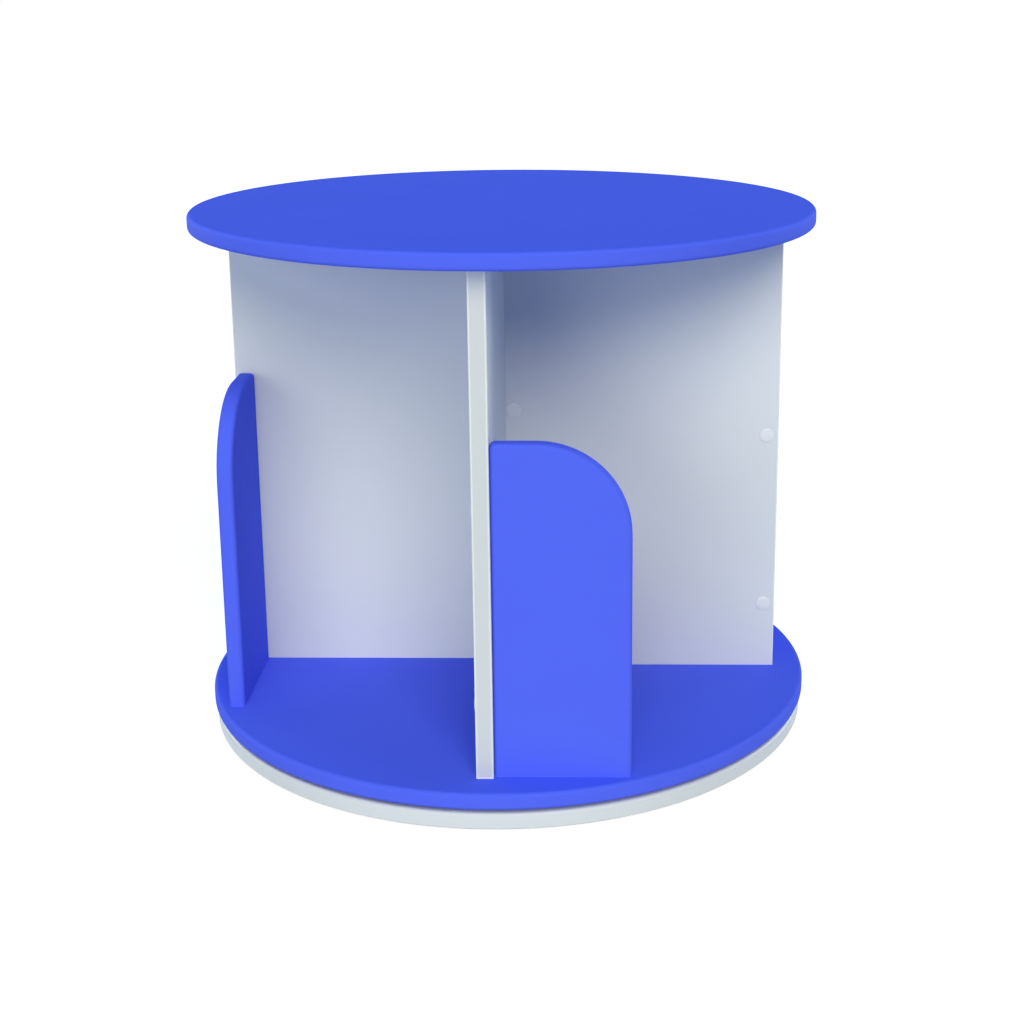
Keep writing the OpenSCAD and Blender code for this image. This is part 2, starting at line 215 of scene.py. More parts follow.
def seen_directly(tree):
    """1 for a ray from the camera, a mirror or glass, which should meet plain white"""
    path = add(tree, "ShaderNodeLightPath").outputs
    mirrored = calc(tree, "MAXIMUM", path["Is Glossy Ray"], path["Is Transmission Ray"])
    return calc(tree, "MAXIMUM", path["Is Camera Ray"], mirrored)


def make_sky():
    world = bpy.data.worlds.new("studio")
    world.use_nodes = True
    tree = world.node_tree
    tree.nodes.clear()
    soft = add(tree, "ShaderNodeBackground", {"Color": sky_tint, "Strength": sky_level})
    white = add(tree, "ShaderNodeBackground", {"Color": WHITE, "Strength": 1.0})
    both = add(tree, "ShaderNodeMixShader", {
        0: seen_directly(tree), 1: soft.outputs[0], 2: white.outputs[0]})
    add(tree, "ShaderNodeOutputWorld", {"Surface": both.outputs[0]})
    bpy.context.scene.world = world


make_sky()
bpy.context.scene.view_settings.view_transform = "Standard"
print("sky at", sky_level)

# %% Lamps
rear_lamp = {"width": 20, "level": 2.4, "tint": (0.85, 0.93, 1.0)}
LAMPS = {
    "key": {
        "come_from": (0.15, -0.85, 0.60), "width": 35, "level": 2.15, "tint": (1.0, 0.94, 0.80)},
    "low": {
        "come_from": (-0.42, -0.90, 0.10), "width": 35, "level": 1.15, "tint": (1, 1, 1)},
    "over": {
        "come_from": (0.0, -0.05, 1.0), "width": 50, "level": 1.0, "tint": (0.05, 0.50, 1.0)},
    "rear_right": {"come_from": (0.75, 0.65, 0.03), **rear_lamp},
    "rear_left": {"come_from": (-0.75, 0.65, 0.03), **rear_lamp},
}


def make_lamp(name, come_from, width, level, tint):
    """A far lamp that is width degrees wide in the sky"""
    data = bpy.data.lights.new(name, "SUN")
    data.angle = math.radians(width)
    data.energy = level
    data.color = tint
    lamp = new_object(name, data)
    lamp.matrix_world = Vector(come_from).to_track_quat("Z", "Y").to_matrix().to_4x4()


for name, lamp in LAMPS.items():
    make_lamp(name, **lamp)
print("lamps:", {name: lamp["level"] for name, lamp in LAMPS.items()})

# %% [markdown]
# ## Floor
#
# The floor is pale and matt. To the camera it should be white, but a floor of pure white
# would throw too much light on the boards. So the camera sees half of the floor's colour
# and a glow on top of it, which keeps a faint contact shadow, and all other light meets
# the plain pale floor. From below the floor is clear, so the underside can be looked at.

# %% Floor
floor_half = 30.0
floor_colour = (0.84, 0.80, 0.77, 1)
floor_share = 0.50
floor_glow = 0.80


def floor_paint():
    material = bpy.data.materials.new("floor_paint")
    material.use_nodes = True
    tree = material.node_tree
    tree.nodes.clear()
    dim_colour = [c * floor_share for c in floor_colour[:3]] + [1]
    matt = add(tree, "ShaderNodeBsdfDiffuse", {"Color": floor_colour})
    dim = add(tree, "ShaderNodeBsdfDiffuse", {"Color": dim_colour})
    glow = add(tree, "ShaderNodeEmission", {"Color": WHITE, "Strength": floor_glow})
    shown = add(tree, "ShaderNodeAddShader", {0: dim.outputs[0], 1: glow.outputs[0]})
    lit = add(tree, "ShaderNodeMixShader", {
        0: seen_directly(tree), 1: matt.outputs[0], 2: shown.outputs[0]})
    clear = add(tree, "ShaderNodeBsdfTransparent")
    under = add(tree, "ShaderNodeNewGeometry").outputs["Backfacing"]
    both = add(tree, "ShaderNodeMixShader", {0: under, 1: lit.outputs[0], 2: clear.outputs[0]})
    add(tree, "ShaderNodeOutputMaterial", {"Surface": both.outputs[0]})
    return material


def make_floor():
    mesh = bpy.data.meshes.new("floor")
    ways = ((-1, -1), (1, -1), (1, 1), (-1, 1))
    mesh.from_pydata([(x * floor_half, y * floor_half, 0) for x, y in ways], [], [(0, 1, 2, 3)])
    mesh.materials.append(floor_paint())
    floor = new_object("floor", mesh)


make_floor()
print("floor", 2 * floor_half, "m wide")

# %% [markdown]
# ## Effects that several finishes share
#
# No finish is one flat colour. Lacquer pulls into a faint orange peel, laminate is
# embossed, metal keeps the marks of its tool, and every edge is touched more often than
# a face and gets a painted highlight. Each of these effects is one group of nodes, built
# once and placed in each material with its own values. Sizes are real ones: a group turns
# a size into a noise scale, and gives heights in metres to a Bump node whose distance is
# one metre.

# %% Helpers for patterns
def own_place(tree):
    return add(tree, "ShaderNodeTexCoord").outputs["Object"]


def noise(tree, place, size, detail=2.0, rough=0.5):
    """Noise whose blobs are about as wide as size, from 0 to 1"""
    return add(tree, "ShaderNodeTexNoise", {
        "Vector": place, "Scale": calc(tree, "DIVIDE", 1.0, size), "Detail": detail,
        "Roughness": rough}).outputs[0]


def stretched_place(tree, squeeze):
    """The place with its height squeezed, so that a pattern on it runs up and down"""
    return add(tree, "ShaderNodeMapping", {
        "Vector": own_place(tree), "Scale": (1, 1, squeeze)}).outputs[0]


def cells(tree, size):
    """Cells about as wide as size, each with a colour of its own and a distance"""
    return add(tree, "ShaderNodeTexVoronoi", {
        "Vector": own_place(tree), "Scale": 1 / size}).outputs


def blend_colour(tree, share, a, b):
    node = add(tree, "ShaderNodeMix", data_type="RGBA")
    for socket, value in ((0, share), (6, a), (7, b)):
        feed(tree, node.inputs[socket], value)
    return node.outputs[2]


def between(tree, share, low, high):
    """low where share is 0, high where it is 1"""
    return add(tree, "ShaderNodeMapRange", {0: share, 3: low, 4: high}).outputs[0]


# %% [markdown]
# ### Board skin
#
# A painted or laminated board has three things at once. Its colour drifts a little over a
# hand's breadth, small specks break up that drift and the sheen, and a fine relief
# catches the light. One group makes all three, from noise of three sizes.

# %% Shared effect: board skin
speck_to_grain = 2.3
drift_starts_at = 0.3


def board_skin():
    """Colour drift, sheen and fine relief of a lacquered or laminated board"""
    tree, give, take = new_group("ShaderNodeTree", "board_skin", {
        "Colour": ("colour", (0.5, 0.5, 0.5, 1)),
        "Drift Colour": ("colour", (0.5, 0.5, 0.5, 1)),
        "Drift Size": ("value", 60 * MM),
        "Speck Share": ("value", 0.2),
        "Grain Size": ("value", 1 * MM),
        "Grain Height": ("value", 0.01 * MM),
        "Smooth": ("value", 0.35),
        "Dull": ("value", 0.5),
    }, {"Colour": "colour", "Roughness": "value", "Height": "value"})
    place = own_place(tree)
    speck_size = calc(tree, "MULTIPLY", give["Grain Size"], speck_to_grain)
    drift = noise(tree, place, give["Drift Size"], 3.0)
    grain = noise(tree, place, give["Grain Size"], 2.0, 0.6)
    speck = noise(tree, place, speck_size, 1.0)
    specked = calc(tree, "ADD", calc(tree, "MULTIPLY", speck, give["Speck Share"]), drift)
    share = calc(tree, "SUBTRACT", specked, drift_starts_at)
    feed(tree, take["Colour"], blend_colour(tree, share, give["Colour"], give["Drift Colour"]))
    feed(tree, take["Roughness"], between(tree, speck, give["Smooth"], give["Dull"]))
    feed(tree, take["Height"], calc(tree, "MULTIPLY", grain, give["Grain Height"]))
    return tree


BOARD_SKIN = board_skin()
print(BOARD_SKIN.name, "has", len(BOARD_SKIN.nodes), "nodes")

# %% [markdown]
# ### Painted edge highlight and wear
#
# A Bevel node looks round the point that is shaded and gives the normal that a softened
# edge would have there. Where that differs from the surface's own normal, there is an
# edge. The group turns the difference into a mask, breaks it up with noise, and leads the
# colour over to a lighter one. This is a painted highlight, the line of light that a rounded
# corner of a board catches, and partly wear where edges are rubbed.

# %% Shared effect: painted edge highlight and wear
bevel_rays = 8
edge_gain = 20.0


def touched_edge():
    tree, give, take = new_group("ShaderNodeTree", "touched_edge", {
        "Colour": ("colour", (0.5, 0.5, 0.5, 1)),
        "Touched Colour": ("colour", (0.8, 0.8, 0.8, 1)),
        "Amount": ("value", 0.5),
        "Patch Size": ("value", 8 * MM),
        "Reach": ("value", 1.2 * MM),
    }, {"Colour": "colour"})
    soft = add(
        tree, "ShaderNodeBevel", {"Radius": give["Reach"]}, samples=bevel_rays).outputs[0]
    flat = add(tree, "ShaderNodeNewGeometry").outputs["Normal"]
    same = add(
        tree, "ShaderNodeVectorMath", {0: soft, 1: flat}, operation="DOT_PRODUCT")
    turned_away = calc(tree, "SUBTRACT", 1.0, same.outputs["Value"])
    edge = calc(tree, "MULTIPLY", turned_away, edge_gain)
    patch = noise(tree, own_place(tree), give["Patch Size"], 3.0)
    # Lighter edges: a painted highlight along each corner, and partly wear
    lit_and_worn = calc(tree, "MULTIPLY", calc(tree, "MULTIPLY", edge, patch), give["Amount"])
    mask = add(tree, "ShaderNodeClamp", {"Value": lit_and_worn}).outputs[0]
    feed(tree, take["Colour"], blend_colour(tree, mask, give["Colour"], give["Touched Colour"]))
    return tree


EDGE_HIGHLIGHT_AND_WEAR = touched_edge()
print(EDGE_HIGHLIGHT_AND_WEAR.name, "has", len(EDGE_HIGHLIGHT_AND_WEAR.nodes), "nodes")

# %% [markdown]
# ### Tool marks
#
# A ring that is turned on a lathe carries fine grooves round its axis. Every turned piece
# of the bearing stands on the axis of the bookcase, so the distance from that axis drives
# the grooves, with the height mixed in so that they also run up the upright walls.

# %% Shared effect: tool marks
smear_size = 9 * MM


def tool_marks():
    tree, give, take = new_group("ShaderNodeTree", "tool_marks", {
        "Groove Size": ("value", 0.3 * MM),
        "Groove Height": ("value", 0.004 * MM),
        "Smooth": ("value", 0.2),
        "Dull": ("value", 0.45),
    }, {"Roughness": "value", "Height": "value"})
    place = own_place(tree)
    parts = add(tree, "ShaderNodeSeparateXYZ", {0: place}).outputs
    flat = add(tree, "ShaderNodeCombineXYZ", {0: parts[0], 1: parts[1]}).outputs[0]
    radius = add(tree, "ShaderNodeVectorMath", {0: flat}, operation="LENGTH").outputs["Value"]
    both = add(tree, "ShaderNodeCombineXYZ", {0: radius, 1: parts[2]}).outputs[0]
    groove = noise(tree, both, give["Groove Size"], 3.0, 0.7)
    smear = noise(tree, place, smear_size, 2.0)
    feed(tree, take["Roughness"], between(tree, smear, give["Smooth"], give["Dull"]))
    feed(tree, take["Height"], calc(tree, "MULTIPLY", groove, give["Groove Height"]))
    return tree


TOOL_MARKS = tool_marks()
print(TOOL_MARKS.name, "has", len(TOOL_MARKS.nodes), "nodes")

# %% [markdown]
# ## Finishes
#
# A material is a Principled shader whose changing inputs come from the groups. What is the
# same all over a surface, such as how strongly it mirrors, is set on the shader itself.

# %% Material helpers
def new_material(name, **fixed):
    material = bpy.data.materials.new(name)
    material.use_nodes = True
    tree = material.node_tree
    shader = tree.nodes["Principled BSDF"]
    for label, value in fixed.items():
        shader.inputs[socket_name(label)].default_value = value
    return material, tree, shader


def use_group(tree, group, **values):
    node = add(tree, "ShaderNodeGroup", node_tree=group)
    for label, value in values.items():
        feed(tree, node.inputs[socket_name(label)], value)
    return node.outputs


def coat(tree, shader, colour, roughness, height=None):
    """Feeds the shader what changes over the surface; a height becomes relief"""
    feed(tree, shader.inputs["Base Color"], colour)
    feed(tree, shader.inputs["Roughness"], roughness)
    if height is not None:
        bump = add(tree, "ShaderNodeBump", {"Strength": 1.0, "Distance": 1.0, "Height": height})
        feed(tree, shader.inputs["Normal"], bump.outputs[0])


# %% [markdown]
# ### Blue boards
#
# The top, the shelf and the fences are smooth board in a strong blue. The paint is nearly
# matt: it mirrors so little that the white of the room doesn't grey it even at a low
# angle. Its relief is a faint orange peel, and its rounded edges carry a painted highlight
# that makes them a little lighter.

# %% Blue lacquer
def blue_lacquer():
    material, tree, shader = new_material("blue_lacquer", specular_ior_level=0.03)
    skin = use_group(
        tree, BOARD_SKIN, colour=(0.083, 0.132, 0.85, 1), drift_colour=(0.091, 0.144, 0.89, 1),
        drift_size=70 * MM, speck_share=0.3, grain_size=1.4 * MM, grain_height=0.012 * MM,
        smooth=0.70, dull=0.85)
    # The lighter blue along the rounded edges is a painted highlight, with a little wear
    edge = use_group(
        tree, EDGE_HIGHLIGHT_AND_WEAR, colour=skin["Colour"], touched_colour=(0.12, 0.19, 0.97, 1),
        amount=0.8)
    coat(tree, shader, edge["Colour"], skin["Roughness"], skin["Height"])
    return material


# %% [markdown]
# ### White boards
#
# The dividers and the base are laminated board: a cool white with a fine emboss. Where a
# divider is sawn off at its top and foot, the raw chipboard shows. Where the plastic edge
# band is glued on, there is a hairline of glue. The four dividers reach equally far from
# the axis, so the larger of the two distances sideways finds that line on all of them.
# The base is white all round, so it has neither, but its rim has a painted highlight that
# makes it a little lighter.

# %% White laminate
looks_up_or_down = 0.9
glue_line = 0.12 * MM
chip_size = 2.2 * MM


def raw_board_mask(tree):
    """1 on faces that look straight up or down"""
    normal = add(tree, "ShaderNodeNewGeometry").outputs["True Normal"]
    up = add(tree, "ShaderNodeSeparateXYZ", {0: normal}).outputs[2]
    return calc(tree, "GREATER_THAN", calc(tree, "ABSOLUTE", up), looks_up_or_down)


def seam_mask(tree):
    """1 within a hair of the glue line of the edge band"""
    parts = add(tree, "ShaderNodeSeparateXYZ", {0: own_place(tree)}).outputs
    x, y = (calc(tree, "ABSOLUTE", part) for part in parts[:2])
    return calc(tree, "GREATER_THAN", calc(tree, "MAXIMUM", x, y), seam_at - glue_line)


def chips(tree):
    """Colour of raw chipboard: pale and dark chips, pressed flat"""
    each = cells(tree, chip_size)["Color"]
    tone = add(tree, "ShaderNodeSeparateColor", {0: each}).outputs[0]
    return blend_colour(tree, tone, (0.42, 0.27, 0.14, 1), (0.66, 0.50, 0.31, 1))


def laminate_skin(tree):
    return use_group(
        tree, BOARD_SKIN, colour=(0.63, 0.685, 0.725, 1), drift_colour=(0.655, 0.705, 0.74, 1),
        drift_size=90 * MM, speck_share=0.3, grain_size=0.9 * MM, grain_height=0.014 * MM,
        smooth=0.40, dull=0.55)


def white_laminate():
    material, tree, shader = new_material("white_laminate", specular_ior_level=0.25)
    skin = laminate_skin(tree)
    glued = blend_colour(tree, seam_mask(tree), skin["Colour"], (0.42, 0.42, 0.42, 1))
    colour = blend_colour(tree, raw_board_mask(tree), glued, chips(tree))
    coat(tree, shader, colour, skin["Roughness"], skin["Height"])
    return material


def white_lacquer():
    material, tree, shader = new_material("white_lacquer", specular_ior_level=0.25)
    skin = laminate_skin(tree)
    # The lighter rim of the base is a painted highlight along its edges
    edge = use_group(
        tree, EDGE_HIGHLIGHT_AND_WEAR, colour=skin["Colour"], touched_colour=(0.84, 0.87, 0.90, 1),
        amount=1.2, reach=1.8 * MM)
    coat(tree, shader, edge["Colour"], skin["Roughness"], skin["Height"])
    return material


# %% [markdown]
# ### Plastics
#
# The edge band is extruded plastic, a touch smoother than the board, with faint lines
# along its length, and it looks brighter through a painted highlight along its corners.
# The caps are moulded: a finer grain, and a rim made lighter by a painted highlight.
# The cage that keeps the balls of the bearing apart is plain nylon, a little yellow.

# %% Plastics
band_squeeze = 0.02


def band_plastic():
    material, tree, shader = new_material("band_plastic", specular_ior_level=0.45)
    lines = noise(tree, stretched_place(tree, band_squeeze), 0.5 * MM, 2.0)
    # The lighter corners of the band are a painted highlight
    edge = use_group(
        tree, EDGE_HIGHLIGHT_AND_WEAR, colour=(0.59, 0.635, 0.66, 1), touched_colour=(0.86, 0.89, 0.90, 1),
        amount=1.7, reach=2.2 * MM)
    height = calc(tree, "MULTIPLY", lines, 0.006 * MM)
    coat(tree, shader, edge["Colour"], between(tree, lines, 0.28, 0.42), height)
    return material


def cap_plastic():
    material, tree, shader = new_material("cap_plastic", specular_ior_level=0.45)
    skin = use_group(
        tree, BOARD_SKIN, colour=(0.70, 0.74, 0.77, 1), drift_colour=(0.73, 0.76, 0.79, 1),
        drift_size=12 * MM, speck_share=0.2, grain_size=0.35 * MM, grain_height=0.006 * MM,
        smooth=0.32, dull=0.44)
    # The lighter rim of a cap is a painted highlight
    edge = use_group(
        tree, EDGE_HIGHLIGHT_AND_WEAR, colour=skin["Colour"], touched_colour=(0.84, 0.86, 0.88, 1),
        amount=0.4, patch_size=3 * MM)
    coat(tree, shader, edge["Colour"], skin["Roughness"], skin["Height"])
    return material


def cage_nylon():
    material, tree, shader = new_material("cage_nylon", specular_ior_level=0.4)
    skin = use_group(
        tree, BOARD_SKIN, colour=(0.80, 0.77, 0.68, 1), drift_colour=(0.74, 0.71, 0.62, 1),
        drift_size=20 * MM, speck_share=0.3, grain_size=0.5 * MM, grain_height=0.01 * MM,
        smooth=0.38, dull=0.5)
    coat(tree, shader, skin["Colour"], skin["Roughness"], skin["Height"])
    return material


# %% [markdown]
# ### Metals
#
# Four metals show different making: turned aluminium for the two rings, polished steel for
# the balls, bright zinc plate on the screws and bolts, and grey die casting for the cam
# locks. All are fully metallic, and they differ in colour, polish and marks.

# %% Metals
def bearing_alloy():
    material, tree, shader = new_material("bearing_alloy", metallic=1.0)
    marks = use_group(
        tree, TOOL_MARKS, groove_size=0.35 * MM, groove_height=0.005 * MM, smooth=0.24,
        dull=0.42)
    tone = noise(tree, own_place(tree), 30 * MM, 2.0)
    colour = blend_colour(tree, tone, (0.72, 0.73, 0.74, 1), (0.80, 0.81, 0.82, 1))
    coat(tree, shader, colour, marks["Roughness"], marks["Height"])
    return material


def ball_steel():
    material, tree, shader = new_material("ball_steel", metallic=1.0)
    film = noise(tree, own_place(tree), 1.5 * MM, 2.0)
    colour = blend_colour(tree, film, (0.62, 0.63, 0.65, 1), (0.70, 0.70, 0.71, 1))
    coat(tree, shader, colour, between(tree, film, 0.05, 0.14))
    return material


def plated_steel():
    material, tree, shader = new_material("plated_steel", metallic=1.0)
    bloom = noise(tree, own_place(tree), 4 * MM, 3.0)
    colour = blend_colour(tree, bloom, (0.66, 0.67, 0.62, 1), (0.73, 0.74, 0.76, 1))
    edge = use_group(
        tree, EDGE_HIGHLIGHT_AND_WEAR, colour=colour, touched_colour=(0.85, 0.85, 0.84, 1), amount=0.6,
        patch_size=2 * MM)
    coat(tree, shader, edge["Colour"], between(tree, bloom, 0.22, 0.38))
    return material


def zinc_casting():
    material, tree, shader = new_material("zinc_casting", metallic=1.0)
    grain = noise(tree, own_place(tree), 0.5 * MM, 3.0, 0.6)
    colour = blend_colour(tree, grain, (0.48, 0.49, 0.50, 1), (0.58, 0.59, 0.60, 1))
    edge = use_group(
        tree, EDGE_HIGHLIGHT_AND_WEAR, colour=colour, touched_colour=(0.72, 0.72, 0.72, 1), amount=0.7,
        patch_size=2 * MM)
    height = calc(tree, "MULTIPLY", grain, 0.02 * MM)
    coat(tree, shader, edge["Colour"], between(tree, grain, 0.42, 0.6), height)
    return material


# %% [markdown]
# ### Beech and foam
#
# A dowel is straight-grained beech, whose short dark flecks run along it. All the dowels
# stand upright, so the pattern is stretched upwards. A foot pad is die-cut foam rubber:
# small cells, cut open on every side, each darker towards its middle as painted shade in
# the open pore.

# %% Beech and foam
beech_squeeze = 0.12
fleck_above = 0.62
fleck_strength = 0.5
foam_cell = 0.7 * MM


def beech():
    material, tree, shader = new_material("beech", specular_ior_level=0.3)
    along = stretched_place(tree, beech_squeeze)
    grain = noise(tree, along, 0.8 * MM, 3.0, 0.6)
    fleck = calc(tree, "GREATER_THAN", noise(tree, along, 0.45 * MM, 1.0), fleck_above)
    share = calc(tree, "MULTIPLY", fleck, fleck_strength)
    wood = blend_colour(tree, grain, (0.56, 0.36, 0.19, 1), (0.74, 0.54, 0.33, 1))
    colour = blend_colour(tree, share, wood, (0.36, 0.20, 0.09, 1))
    height = calc(tree, "MULTIPLY", grain, 0.03 * MM)
    coat(tree, shader, colour, between(tree, grain, 0.62, 0.8), height)
    return material


def foot_foam():
    material, tree, shader = new_material("foot_foam", specular_ior_level=0.2)
    depth = cells(tree, foam_cell)["Distance"]
    # Darker towards the middle of each cell: painted shade in the pore
    colour = blend_colour(tree, depth, (0.012, 0.012, 0.013, 1), (0.045, 0.045, 0.048, 1))
    height = calc(tree, "MULTIPLY", depth, 0.12 * MM)
    coat(tree, shader, colour, between(tree, depth, 0.95, 0.8), height)
    return material


# %% [markdown]
# ## Dress the pieces that keep their mesh
#
# A node of the frame has one material slot, so a new finish is one assignment. The slot
# names come from the frame's record, where each says what a piece is made of. The record
# also says which body a piece belongs to, which the pieces made below need as well.

# %% Finishes by slot
FINISHES = {
    "blue_board": blue_lacquer(),
    "white_board": white_laminate(),
    "white_band": band_plastic(),
    "white_cap": cap_plastic(),
    "bearing_alloy": bearing_alloy(),
    "ball_steel": ball_steel(),
    "plated_steel": plated_steel(),
    "zinc_casting": zinc_casting(),
    "cage_nylon": cage_nylon(),
    "beech_dowel": beech(),
    "foot_foam": foot_foam(),
}
SLOT_OF = {node: obj.material_slots[0].material.name for node, obj in frame["nodes"].items()}
BODY_OF = {
    node: body
    for body, members in frame["record"]["behaviour"]["bodies"].items()
    for node in members
}
for node, obj in frame["nodes"].items():
    obj.material_slots[0].material = FINISHES[SLOT_OF[node]]
WHITE_LACQUER = white_lacquer()
print({slot: sum(s == slot for s in SLOT_OF.values()) for slot in FINISHES})

# %% [markdown]
# ## A lathe in Geometry Nodes
#
# The top board, the screws, bolts, dowels, caps and foot pads are all round about an axis.
# Half the section of such a piece is a short line of points: how far out, and how high.
# The tree takes that line and sweeps it round. It lays out a grid with one row for each
# point of the line and one column for each step round the circle, and sets every grid
# point's place by formula.
#
# Because the place is a formula, the same tree cuts threads, flutes and hexagon sockets:
# - a thread adds a ridge where height and angle are in step,
# - a flute takes a little off wherever a cosine of the angle peaks,
# - a socket turns the circle of its wall into a hexagon.
#
# The result is one closed skin, with no piece pushed through another.

# %% What the lathe cuts
cut_fade = 0.5 * MM
ridge_share = 0.625


def cut_zone(tree, give, up):
    """1 between the two heights that are cut, fading out at both ends"""
    above = calc(tree, "DIVIDE", calc(tree, "SUBTRACT", up, give["Cut From"]), cut_fade)
    below = calc(tree, "DIVIDE", calc(tree, "SUBTRACT", give["Cut To"], up), cut_fade)
    return add(tree, "ShaderNodeClamp", {"Value": calc(tree, "MINIMUM", above, below)}).outputs[0]


def lathe_thread(tree, give, turn, up):
    """Height of the ridge: a triangle once a pitch, climbing as the angle grows"""
    climb = calc(tree, "SUBTRACT", calc(tree, "DIVIDE", up, give["Thread Pitch"]), turn)
    off = calc(tree, "ABSOLUTE", calc(tree, "SUBTRACT", calc(tree, "FRACT", climb), 0.5))
    slope = calc(tree, "SUBTRACT", 1.0, calc(tree, "MULTIPLY", off, 2 / ridge_share))
    ridge = calc(tree, "MAXIMUM", slope, 0.0)
    high = calc(tree, "MULTIPLY", ridge, give["Thread Height"])
    return calc(tree, "MULTIPLY", high, cut_zone(tree, give, up))


def lathe_flutes(tree, give, angle, up):
    """How much is taken off: the upper half of a wave that repeats once a flute"""
    wave = calc(tree, "COSINE", calc(tree, "MULTIPLY", angle, give["Flutes"]))
    deep = calc(tree, "MULTIPLY", calc(tree, "MAXIMUM", wave, 0.0), give["Flute Depth"])
    return calc(tree, "MULTIPLY", deep, cut_zone(tree, give, up))


def lathe_socket(tree, give, turn, out, up):
    """What the radius is multiplied by: less than 1 on the flats of the socket's wall"""
    sixth = calc(tree, "SUBTRACT", calc(tree, "FRACT", calc(tree, "MULTIPLY", turn, 6)), 0.5)
    slant = calc(tree, "COSINE", calc(tree, "MULTIPLY", sixth, TURN / 6))
    hexagon = calc(tree, "DIVIDE", math.cos(TURN / 12), slant)
    widest = calc(tree, "ADD", give["Socket Radius"], same_spot)
    deepest = calc(tree, "ADD", give["Socket Floor"], same_spot)
    inside = calc(tree, "LESS_THAN", out, widest)
    shallow = calc(tree, "LESS_THAN", up, deepest)
    return between(tree, calc(tree, "MULTIPLY", inside, shallow), 1.0, hexagon)


# %% The lathe tree
def swept_grid(tree, section, steps):
    """A grid with a row for each point of the section; its turn, and how far out and up"""
    rows = add(tree, "GeometryNodeAttributeDomainSize", {"Geometry": section})
    columns = calc(tree, "ADD", steps, 1)
    grid = add(tree, "GeometryNodeMeshGrid", {
        "Vertices X": rows.outputs["Point Count"], "Vertices Y": columns}).outputs["Mesh"]
    index = add(tree, "GeometryNodeInputIndex").outputs[0]
    row = calc(tree, "FLOOR", calc(tree, "DIVIDE", calc(tree, "ADD", index, 0.5), columns))
    column = calc(tree, "SUBTRACT", index, calc(tree, "MULTIPLY", row, columns))
    point = add(tree, "GeometryNodeSampleIndex", {
        "Geometry": section, "Value": add(tree, "GeometryNodeInputPosition").outputs[0],
        "Index": row}, data_type="FLOAT_VECTOR").outputs[0]
    parts = add(tree, "ShaderNodeSeparateXYZ", {0: point}).outputs
    return grid, calc(tree, "DIVIDE", column, steps), parts[0], parts[2]


def end_tree(tree, shape, finish, socket):
    """Instances become real mesh, the mesh gets its finish, and the socket takes it"""
    real = add(tree, "GeometryNodeRealizeInstances", {"Geometry": shape}).outputs[0]
    done = add(tree, "GeometryNodeSetMaterial", {"Geometry": real, "Material": finish})
    feed(tree, socket, done.outputs[0])


def lathe_tree():
    tree, give, take = new_group("GeometryNodeTree", "lathe", {
        "Section": ("geometry", None),
        "Steps": ("count", 48),
        "Cut From": ("value", 0.0),
        "Cut To": ("value", 0.0),
        "Thread Pitch": ("value", 1 * MM),
        "Thread Height": ("value", 0.0),
        "Flutes": ("count", 0),
        "Flute Depth": ("value", 0.0),
        "Socket Radius": ("value", 0.0),
        "Socket Floor": ("value", 0.0),
        "Finish": ("material", None),
    }, {"Piece": "geometry"})
    grid, turn, out, up = swept_grid(tree, give["Section"], give["Steps"])
    angle = calc(tree, "MULTIPLY", turn, TURN)
    radius = calc(tree, "ADD", out, lathe_thread(tree, give, turn, up))
    radius = calc(tree, "SUBTRACT", radius, lathe_flutes(tree, give, angle, up))
    radius = calc(tree, "MULTIPLY", radius, lathe_socket(tree, give, turn, out, up))
    spot = add(tree, "ShaderNodeCombineXYZ", {
        0: calc(tree, "MULTIPLY", radius, calc(tree, "COSINE", angle)),
        1: calc(tree, "MULTIPLY", radius, calc(tree, "SINE", angle)),
        2: up}).outputs[0]
    placed = add(tree, "GeometryNodeSetPosition", {"Geometry": grid, "Position": spot})
    closed = add(tree, "GeometryNodeMergeByDistance", {
        "Geometry": placed.outputs[0], "Distance": same_spot / 2})
    outwards = add(tree, "GeometryNodeFlipFaces", {0: closed.outputs[0]})
    smooth = add(tree, "GeometryNodeSetShadeSmooth", {"Geometry": outwards.outputs[0]})
    end_tree(tree, smooth.outputs[0], give["Finish"], take["Piece"])
    return tree


LATHE = lathe_tree()
print(LATHE.name, "has", len(LATHE.nodes), "nodes")

# %% [markdown]
# ## Copies on their seats
#
# The second tree lays copies of one finished piece on a cloud of seat points. Each point
# carries the direction in which its copy should stand, as an attribute named facing.

# %% The seating tree
def seating_tree():
    tree, give, take = new_group("GeometryNodeTree", "seating", {
        "Seats": ("geometry", None),
        "Piece": ("object", None),
        "Finish": ("material", None),
    }, {"Set": "geometry"})
    piece = add(tree, "GeometryNodeObjectInfo", {"Object": give["Piece"], "As Instance": True})
    facing = add(
        tree, "GeometryNodeInputNamedAttribute", {"Name": "facing"}, data_type="FLOAT_VECTOR")
    stood_up = add(
        tree, "FunctionNodeAlignRotationToVector", {"Vector": facing.outputs[0]}, axis="Z")
    laid = add(tree, "GeometryNodeInstanceOnPoints", {
        "Points": give["Seats"], "Instance": piece.outputs["Geometry"],
        "Rotation": stood_up.outputs[0]})
    end_tree(tree, laid.outputs[0], give["Finish"], take["Set"])
    return tree


SEATING = seating_tree()
print(SEATING.name, "has", len(SEATING.nodes), "nodes")

# %% [markdown]
# ## From a tree to a plain mesh
#
# A modifier holds the tree, and its inputs are set by each socket's identifier. The
# evaluated result is then copied into a plain mesh, because what leaves Blender has no
# modifiers and no instances. Edges sharper than a set angle are marked, so that a flat
# head and a round shank meet in a crisp line.

# %% Running a tree
SHARP = math.radians(32)


